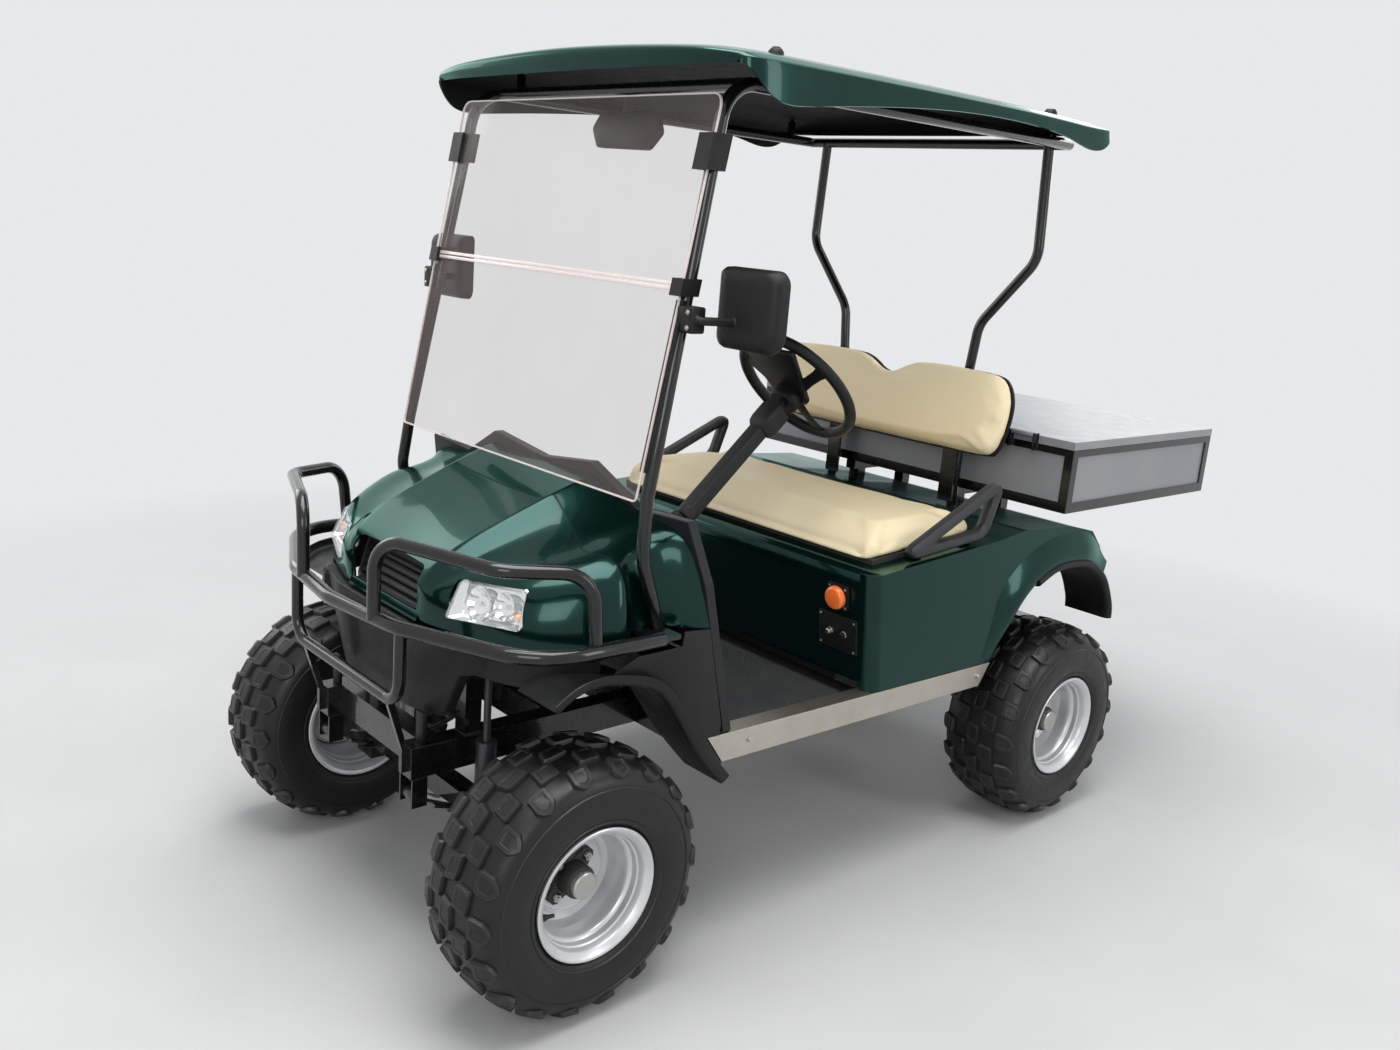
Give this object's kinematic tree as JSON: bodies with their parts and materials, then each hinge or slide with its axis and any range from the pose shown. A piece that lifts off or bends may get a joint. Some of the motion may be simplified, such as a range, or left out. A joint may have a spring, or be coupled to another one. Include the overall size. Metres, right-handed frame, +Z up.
{
  "type": "golf cart",
  "caption": "Lifted two-seat electric golf cart with a roof, fold-down windshield, brush guard, off-road tyres and a lidded cargo box behind the seat.",
  "frame": {"origin": "middle of the footprint at ground level", "axes": "+X to the vehicle's left, the driver's side; +Y to the rear; +Z up"},
  "size_m": [1.312, 2.6187, 1.953],
  "materials": {
    "black_steel": "semi-gloss black",
    "cast_black": "black painted",
    "spring_steel": "satin",
    "shock_grey": "satin",
    "tyre_rubber": "matt",
    "wheel_silver": "silver",
    "green_metallic": "metallic, gloss",
    "black_plastic": "textured",
    "dash_plastic": "textured",
    "lamp_lens": "clear",
    "clear_sheet": "clear acrylic",
    "floor_rubber": "ribbed",
    "aluminium": "brushed",
    "battery_case": "matt",
    "orange_plastic": "semi-gloss",
    "cream_vinyl": "vinyl",
    "seat_ply": "painted black",
    "black_foam": "skin foam",
    "panel_grey": "satin",
    "lamp_red": "lens"
  },
  "bodies": {
    "chassis": {"chassis_frame": "black_steel", "front_axle": "black_steel", "rear_axle": "cast_black", "drive_motor": "cast_black", "leaf_springs": "spring_steel", "shock_absorbers": "shock_grey", "steering_box": "cast_black", "cowl": "green_metallic", "grille": "black_plastic", "headlights": "lamp_lens", "front_lower_panel": "black_plastic", "front_flare_left": "black_plastic", "front_flare_right": "black_plastic", "brush_guard": "black_steel", "floor_pan": "black_plastic", "floor_mat": "floor_rubber", "rocker_panels": "aluminium", "dash_panel": "dash_plastic", "steering_column": "dash_plastic", "pedals": "black_steel", "rear_body": "green_metallic", "rear_flare_left": "black_plastic", "rear_flare_right": "black_plastic", "battery_pack": "battery_case", "kick_panel_controls": "orange_plastic", "seat_back": "cream_vinyl", "seat_back_brackets": "black_steel", "cargo_frame": "black_steel", "cargo_panels": "panel_grey", "roof_frame": "black_steel", "canopy": "green_metallic", "windshield_lower": "clear_sheet", "windshield_upper": "clear_sheet", "windshield_clips": "black_plastic", "side_mirrors": "black_plastic", "interior_mirror": "black_plastic", "tail_lights": "lamp_red"},
    "knuckle_left": {"knuckle_left": "cast_black"},
    "knuckle_right": {"knuckle_right": "cast_black"},
    "tie_rod": {"tie_rod": "black_steel"},
    "pitman_arm": {"pitman_arm": "black_steel"},
    "steering_wheel": {"steering_wheel": "black_plastic"},
    "seat": {"seat_board": "seat_ply", "seat_cushion": "cream_vinyl", "hip_restraints": "black_foam"},
    "cargo_lid": {"cargo_lid": "panel_grey"},
    "road_wheel_front_left": {"tyre_front_left": "tyre_rubber", "wheel_front_left": "wheel_silver"},
    "road_wheel_front_right": {"tyre_front_right": "tyre_rubber", "wheel_front_right": "wheel_silver"},
    "road_wheel_rear_left": {"tyre_rear_left": "tyre_rubber", "wheel_rear_left": "wheel_silver"},
    "road_wheel_rear_right": {"tyre_rear_right": "tyre_rubber", "wheel_rear_right": "wheel_silver"}
  },
  "joints": [
    {"name": "left_knuckle_steer", "type": "hinge", "parent": "chassis", "child": "knuckle_left", "pos_m": [0.355, -1.018, 0.283], "axis": [0, 0, 1], "range_deg": [-28, 28]},
    {"name": "right_knuckle_steer", "type": "hinge", "parent": "chassis", "child": "knuckle_right", "pos_m": [-0.355, -1.018, 0.283], "axis": [0, 0, 1], "range_deg": [-28.5, 28.5]},
    {"name": "pitman_turn", "type": "hinge", "parent": "chassis", "child": "pitman_arm", "pos_m": [0.095, -1.018, 0.372], "axis": [0, 0, 1], "range_deg": [-28.5, 28.5]},
    {"name": "tie_rod_swing", "type": "hinge", "parent": "knuckle_left", "child": "tie_rod", "pos_m": [0.355, -0.908, 0.386], "axis": [0, 0, 1], "range_deg": [-28.5, 28.5]},
    {"name": "steering_wheel_turn", "type": "hinge", "parent": "chassis", "child": "steering_wheel", "pos_m": [0.25, -0.208, 1.222], "axis": [0, 0.749, 0.6626], "range_deg": [-285, 285]},
    {"name": "seat_lift", "type": "hinge", "parent": "chassis", "child": "seat", "pos_m": [0, 0.302, 0.858], "axis": [-1, 0, 0], "range_deg": [0, 65]},
    {"name": "cargo_lid_lift", "type": "hinge", "parent": "chassis", "child": "cargo_lid", "pos_m": [0, 0.5245, 1.101], "axis": [1, 0, 0], "range_deg": [0, 70]},
    {"name": "front_left_wheel_spin", "type": "hinge", "parent": "knuckle_left", "child": "road_wheel_front_left", "pos_m": [0.5025, -1.018, 0.283], "axis": [1, 0, 0], "continuous": true},
    {"name": "rear_left_wheel_spin", "type": "hinge", "parent": "chassis", "child": "road_wheel_rear_left", "pos_m": [0.5215, 0.622, 0.283], "axis": [1, 0, 0], "continuous": true},
    {"name": "front_right_wheel_spin", "type": "hinge", "parent": "knuckle_right", "child": "road_wheel_front_right", "pos_m": [-0.5025, -1.018, 0.283], "axis": [1, 0, 0], "continuous": true},
    {"name": "rear_right_wheel_spin", "type": "hinge", "parent": "chassis", "child": "road_wheel_rear_right", "pos_m": [-0.5215, 0.622, 0.283], "axis": [1, 0, 0], "continuous": true}
  ],
  "couplings": [
    {"joint": "right_knuckle_steer", "follows": "left_knuckle_steer", "ratio": 1},
    {"joint": "pitman_turn", "follows": "left_knuckle_steer", "ratio": 1},
    {"joint": "tie_rod_swing", "follows": "left_knuckle_steer", "ratio": -1},
    {"joint": "steering_wheel_turn", "follows": "left_knuckle_steer", "ratio": 10}
  ]
}
